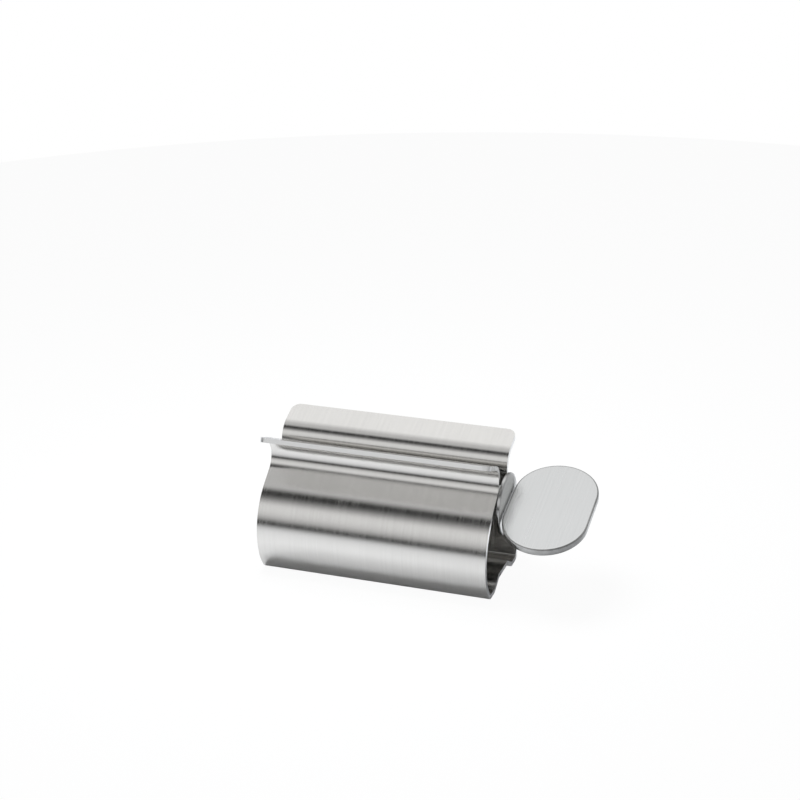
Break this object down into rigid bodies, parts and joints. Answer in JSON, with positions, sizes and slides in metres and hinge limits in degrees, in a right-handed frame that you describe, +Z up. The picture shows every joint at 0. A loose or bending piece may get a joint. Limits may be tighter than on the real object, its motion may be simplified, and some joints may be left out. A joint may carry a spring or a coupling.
{
  "type": "tube squeezer with winding key",
  "caption": "Folded steel holder with flared lips, a slotted neck and a round belly, in which a flat-gripped split key turns to wind up a tube from its flat end.",
  "frame": {"origin": "middle of the bounding box's base, on the surface that the two feet stand on", "axes": "+X along the folded sheet and the key's axis, towards the grip plate; +Y towards the rear wall; +Z up"},
  "size_m": [0.11, 0.0408, 0.048],
  "materials": {
    "sheet_steel": "fine brushed, grain across the length",
    "key_steel": "fine brushed flats, tumbled edges"
  },
  "bodies": {
    "holder": {"folded_holder": "sheet_steel"},
    "key": {"split_shaft": "key_steel", "stop_flange": "key_steel", "grip_plate": "key_steel"}
  },
  "joints": [
    {"name": "key_turn", "type": "hinge", "parent": "holder", "child": "key", "pos_m": [0, 0, 0.0282], "axis": [1, 0, 0], "continuous": true}
  ]
}
